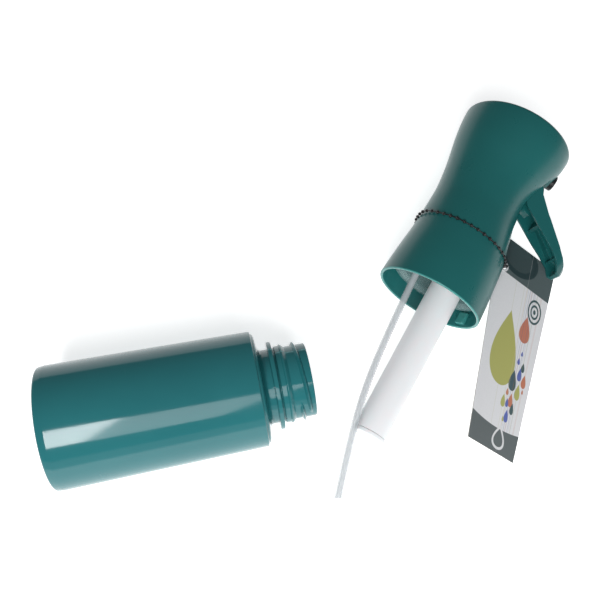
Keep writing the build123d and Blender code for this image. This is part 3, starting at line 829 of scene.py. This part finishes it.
def drop_mask(nt, U, V, cx, cy, w, h, soft=0.004):
    """a rain-drop shape: round below, pointed above. U right, V down, both in card widths."""
    x = math_node(nt, "DIVIDE", math_node(nt, "SUBTRACT", U, cx), w)
    y = math_node(nt, "DIVIDE", math_node(nt, "SUBTRACT", V, cy), h)
    # y from -1 at the tip to 1 at the bottom
    t = ramp(nt, y, -1.0, 1.0, 0.0, 1.0)
    # half-width profile of the drop: sin(pi*t^0.9...) rounded below and pointed above
    prof = math_node(nt, "MULTIPLY", math_node(nt, "POWER", t, 1.15), math_node(nt, "SQRT", math_node(nt, "MAXIMUM", math_node(nt, "SUBTRACT", 1.0, t), 0.0)))
    prof = math_node(nt, "MULTIPLY", prof, 2.35)
    d = math_node(nt, "SUBTRACT", prof, math_node(nt, "ABSOLUTE", x))
    return ramp(nt, d, -soft / w, soft / w, 0.0, 1.0)


def ellipse_mask(nt, U, V, cx, cy, a, b, soft=0.05):
    x = math_node(nt, "DIVIDE", math_node(nt, "SUBTRACT", U, cx), a)
    y = math_node(nt, "DIVIDE", math_node(nt, "SUBTRACT", V, cy), b)
    d = math_node(nt, "SQRT", math_node(nt, "ADD", math_node(nt, "MULTIPLY", x, x), math_node(nt, "MULTIPLY", y, y)))
    return d, ramp(nt, d, 1 - soft, 1 + soft, 1.0, 0.0)


def tag_material():
    m, nt, p, out = new_mat("tag_print")
    uv = nt.nodes.new("ShaderNodeUVMap")
    uv.uv_map = "UVMap"
    sep = nt.nodes.new("ShaderNodeSeparateXYZ")
    nt.links.new(uv.outputs["UV"], sep.inputs[0])
    U = sep.outputs["X"]
    V = math_node(nt, "SUBTRACT", 1.0, sep.outputs["Y"])
    card = (0.76, 0.76, 0.775)
    vec = coords(nt)
    fibre = noise_node(nt, vec, 1400.0, 4.0, 0.65)
    col = mix_color(nt, ramp(nt, fibre, 0.3, 0.7, 0.0, 1.0), card, (0.725, 0.725, 0.74))
    olive, orange, slate, blue, dark, dark2 = (0.42, 0.42, 0.13), (0.52, 0.19, 0.11), (0.055, 0.10, 0.105), (0.10, 0.14, 0.42), (0.085, 0.115, 0.118), (0.020, 0.042, 0.046)
    for cx, cy, w, h, c in (
            (0.40, 0.525, 0.29, 0.185, olive), (0.70, 0.385, 0.115, 0.068, orange),
            (0.735, 0.505, 0.022, 0.013, blue), (0.70, 0.548, 0.03, 0.018, blue), (0.80, 0.565, 0.04, 0.024, slate),
            (0.765, 0.605, 0.05, 0.033, blue), (0.66, 0.65, 0.085, 0.052, slate), (0.865, 0.625, 0.055, 0.034, orange),
            (0.79, 0.69, 0.062, 0.040, olive), (0.69, 0.745, 0.055, 0.034, orange), (0.60, 0.715, 0.03, 0.018, orange),
            (0.63, 0.765, 0.035, 0.022, blue), (0.55, 0.765, 0.05, 0.032, olive), (0.745, 0.78, 0.045, 0.029, slate),
            (0.665, 0.825, 0.05, 0.032, blue), (0.61, 0.845, 0.022, 0.014, olive), (0.88, 0.675, 0.02, 0.012, orange)):
        col = mix_color(nt, drop_mask(nt, U, V, cx, cy - 0.01, w, h), col, c)
    # ring badge, plain concentric rings
    d, inside = ellipse_mask(nt, U, V, 0.80, 0.265, 0.135, 0.068)
    rings = math_node(nt, "SINE", math_node(nt, "MULTIPLY", d, 17.0))
    rings = math_node(nt, "MULTIPLY", ramp(nt, rings, 0.0, 0.35, 0.0, 1.0), inside)
    col = mix_color(nt, rings, col, slate)
    # dark bands above and below
    top = ramp(nt, V, 0.1745, 0.1765, 1.0, 0.0)
    dd, disc = ellipse_mask(nt, U, V, 0.36, 0.058, 0.36, 0.096, 0.02)
    band = mix_color(nt, disc, dark, dark2)
    d3, disc2 = ellipse_mask(nt, U, V, 0.36, 0.058, 0.26, 0.070, 0.03)
    band = mix_color(nt, math_node(nt, "MULTIPLY", disc2, 0.35), band, dark)
    col = mix_color(nt, top, col, band)
    dip = math_node(nt, "MULTIPLY", math_node(nt, "MULTIPLY", U, math_node(nt, "SUBTRACT", 1.0, U)), 0.075)
    lowv = math_node(nt, "SUBTRACT", V, dip)
    low = ramp(nt, lowv, 0.871, 0.873, 0.0, 1.0)
    col = mix_color(nt, low, col, (0.105, 0.125, 0.128))
    # a plain white drop outline where the card had its mark
    o1 = drop_mask(nt, U, V, 0.60, 0.925, 0.155, 0.058)
    o2 = drop_mask(nt, U, V, 0.60, 0.928, 0.115, 0.043)
    col = mix_color(nt, math_node(nt, "MULTIPLY", o1, math_node(nt, "SUBTRACT", 1.0, o2)), col, (0.72, 0.72, 0.73))
    nt.links.new(col, p.inputs["Base Color"])
    nt.links.new(ramp(nt, fibre, 0.3, 0.7, 0.42, 0.55), p.inputs["Roughness"])
    b = nt.nodes.new("ShaderNodeBump")
    b.inputs["Strength"].default_value = 0.05
    b.inputs["Distance"].default_value = 0.0001
    nt.links.new(fibre, b.inputs["Height"])
    nt.links.new(b.outputs["Normal"], p.inputs["Normal"])
    return m


def card_material(name, color):
    m, nt, p, out = new_mat(name)
    v = coords(nt)
    f = noise_node(nt, v, 1500.0, 4.0, 0.7)
    nt.links.new(mix_color(nt, ramp(nt, f, 0.3, 0.7, 0.0, 1.0), color, tuple(c * 0.93 for c in color)), p.inputs["Base Color"])
    nt.links.new(ramp(nt, f, 0.3, 0.7, 0.6, 0.75), p.inputs["Roughness"])
    b = nt.nodes.new("ShaderNodeBump")
    b.inputs["Strength"].default_value = 0.12
    b.inputs["Distance"].default_value = 0.0001
    nt.links.new(f, b.inputs["Height"])
    nt.links.new(b.outputs["Normal"], p.inputs["Normal"])
    return m


tag_me = build_tag()
for mt in (tag_material(), card_material("tag_back", (0.66, 0.66, 0.66)), card_material("tag_edge", (0.62, 0.60, 0.56))):
    tag_me.materials.append(mt)
tag = bpy.data.objects.new("tag_printed", tag_me)
bpy.context.scene.collection.objects.link(tag)
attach(tag, "hang_tag")
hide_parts("tag_card")

tn = tag_normal(*HOLE_UV)
tu = (tag_point(0.2, HOLE_UV[1]) - tag_point(0.05, HOLE_UV[1])).normalized()
tvv = tn.cross(tu)
EP = basis(HOLE_C, tu, tvv, tn)
lathe("tag_eyelet_ring", [(1.45, -0.36, 0.1), (2.5, -0.42, 0.12), (2.6, -0.22), (1.72, -0.22), (1.72, 0.22), (2.6, 0.22), (2.5, 0.42, 0.12), (1.45, 0.36, 0.1)],
      EP, M_EYE, "hang_tag", seg=48, replaces=("tag_eyelet",))

# ------------------------------------------------------------------ beaded tie
inv_hp = HP.inverted()
hole_h = inv_hp @ (EP @ Vector((0, 0, 0)))
nrm_h = ((inv_hp @ (EP @ Vector((0, 0, 1)))) - hole_h).normalized()
TIE_R, TIE_CX, TIE_Z = 23.0, -0.3, 31.6
ring_pts = []
start, end = math.radians(8), math.radians(352)
N = 26
for i in range(N + 1):
    a = start + (end - start) * i / N
    back = math.exp(-((a - math.radians(200)) / 0.20) ** 2)
    r = TIE_R + 0.9 * back
    z = TIE_Z + 0.35 * math.sin(2 * a + 0.6) + 0.9 * back * math.sin((a - 3.3) * 9)
    ring_pts.append(Vector((TIE_CX + r * math.cos(a), r * math.sin(a), z)))
into = hole_h + nrm_h * 2.6
ring_pts = [hole_h - nrm_h * 1.2, hole_h + nrm_h * 0.6, into.lerp(ring_pts[0], 0.25)] + ring_pts
ring_pts += [ring_pts[-1].lerp(into, 0.55) + Vector((1.4, 0, 0.4)), hole_h + nrm_h * 1.1 + Vector((0.25, 0.1, 0)), hole_h - nrm_h * 1.0 + Vector((0.2, 0.1, 0.1))]
route = nurbs_points(ring_pts, 4, 12)
sv_, sf_ = tube_data(route, 0.26, 10)
string = finish_mesh("tie_cord", sv_, sf_, HP, M_TIE, "head", sharp=60.0, replaces=("tie_string",))
# beads, evenly threaded
bv, bf = [], []
acc = 0.0
step = 3.45
nextd = 1.2
prof = fillet_profile([(0.0, -0.78), (0.42, -0.72, 0.1), (0.76, -0.25, 0.3), (0.76, 0.25, 0.3), (0.42, 0.72, 0.1), (0.0, 0.78)], closed=False)
pv, pf = lathe_data(prof, 14, closed=False)
idx = 0
for a, b in zip(route, route[1:]):
    L = (b - a).length
    while acc + L >= nextd:
        t = (nextd - acc) / L
        c = a.lerp(b, t)
        d = (b - a).normalized()
        q = Vector((0, 0, 1)).rotation_difference(d).to_matrix()
        k = 0.94 + 0.1 * ((idx * 37) % 11) / 11
        s0 = len(bv)
        bv += [c + q @ (p * k) for p in pv]
        bf += [tuple(i + s0 for i in f) for f in pf]
        nextd += step
        idx += 1
    acc += L
beads = finish_mesh("tie_bead_row", bv, bf, HP, M_TIE, "head", sharp=60.0, replaces=("tie_beads",))

# ------------------------------------------------------------------ remaining CAD nodes: better finishes on their slots
FIN = {"engine_frame": M_CLEAR, "neck_gasket": M_RUBBER, "buffer_piston": M_WHITE, "buffer_piston_seal": M_RUBBER, "buffer_spring": M_STEEL,
       "tube_socket": M_CLEAR, "suction_duct": M_CLEAR, "inlet_ball": M_STEEL, "pump_cylinder": M_WHITE, "pump_piston": M_WHITE,
       "pump_piston_seal": M_RUBBER, "pump_return_spring": M_STEEL, "discharge_tube": M_TUBE, "valve_housing": M_WHITE, "outlet_valve": M_WHITE,
       "outlet_valve_spring": M_STEEL, "nozzle_swirl": M_WHITE, "trigger_pivot_pin": M_STEEL}
for n, m in FIN.items():
    o = NODES[n]
    for s in o.material_slots:
        s.material = m
    o.data.polygons.foreach_set("use_smooth", [True] * len(o.data.polygons))
    o.data.set_sharp_from_angle(angle=math.radians(30))

# ------------------------------------------------------------------ stage
fm_, nt, p, out = new_mat("pale_floor")
nt.nodes.remove(p)
em = nt.nodes.new("ShaderNodeEmission")
em.inputs["Color"].default_value = (1.0, 1.0, 1.0, 1.0)
em.inputs["Strength"].default_value = 0.70
df = nt.nodes.new("ShaderNodeBsdfDiffuse")
df.inputs["Color"].default_value = (0.86, 0.86, 0.86, 1.0)
ad = nt.nodes.new("ShaderNodeAddShader")
nt.links.new(em.outputs[0], ad.inputs[0])
nt.links.new(df.outputs[0], ad.inputs[1])
nt.links.new(ad.outputs[0], out.inputs["Surface"])
bpy.ops.mesh.primitive_plane_add(size=4.0, location=(0, 0, 0))
floor = bpy.context.object
floor.name = "floor"
floor.data.materials.append(fm_)

w = bpy.data.worlds.new("studio")
bpy.context.scene.world = w
w.use_nodes = True
bg = w.node_tree.nodes.get("Background") or w.node_tree.nodes.new("ShaderNodeBackground")
bg.inputs["Color"].default_value = (0.92, 0.96, 1.0, 1.0)
bg.inputs["Strength"].default_value = 0.16
wo = w.node_tree.nodes.get("World Output") or w.node_tree.nodes.new("ShaderNodeOutputWorld")
w.node_tree.links.new(bg.outputs[0], wo.inputs["Surface"])


def area(name, loc, target, sx, sy, power, color=(1, 1, 1), shape="RECTANGLE"):
    l = bpy.data.lights.new(name, "AREA")
    l.shape = shape
    l.size, l.size_y = sx, sy
    l.energy = power
    l.color = color
    o = bpy.data.objects.new(name, l)
    bpy.context.scene.collection.objects.link(o)
    o.location = loc
    d = Vector(target) - Vector(loc)
    o.rotation_euler = d.to_track_quat("-Z", "Y").to_euler()
    return o


area("softbox_base", (-0.13, -0.47, 0.60), (-0.13, -0.47, 0.0), 0.12, 0.44, 2.5)
area("softbox_long", (0.05, -0.49, 0.60), (0.05, -0.49, 0.0), 0.28, 0.46, 1.5, (0.97, 0.99, 1.0))
area("front_panel", (0.0, -1.15, 0.17), (0.0, 0.0, 0.17), 2.6, 0.34, 1.5)
fill = area("front_fill", (0.05, -0.85, 0.95), (0.0, 0.0, 0.02), 0.9, 0.6, 5.6)
fill.visible_glossy = False

# ------------------------------------------------------------------ camera at the photographed angle
f_px, elev, dist = 904.0, math.radians(71.55), 436.13
cam = bpy.data.cameras.new("camera")
cam.sensor_width = 36.0
cam.lens = 36.0 * f_px / 600.0
co = bpy.data.objects.new("camera", cam)
bpy.context.scene.collection.objects.link(co)
look = (SHIFT + Vector((0.0, 0.0, 0.0))) * MM
co.location = look + Vector((0, -dist * math.cos(elev), dist * math.sin(elev))) * MM
co.rotation_euler = (look - co.location).to_track_quat("-Z", "Y").to_euler()
cam.clip_start = 0.01
bpy.context.scene.camera = co
bpy.context.scene.view_settings.view_transform = "Standard"
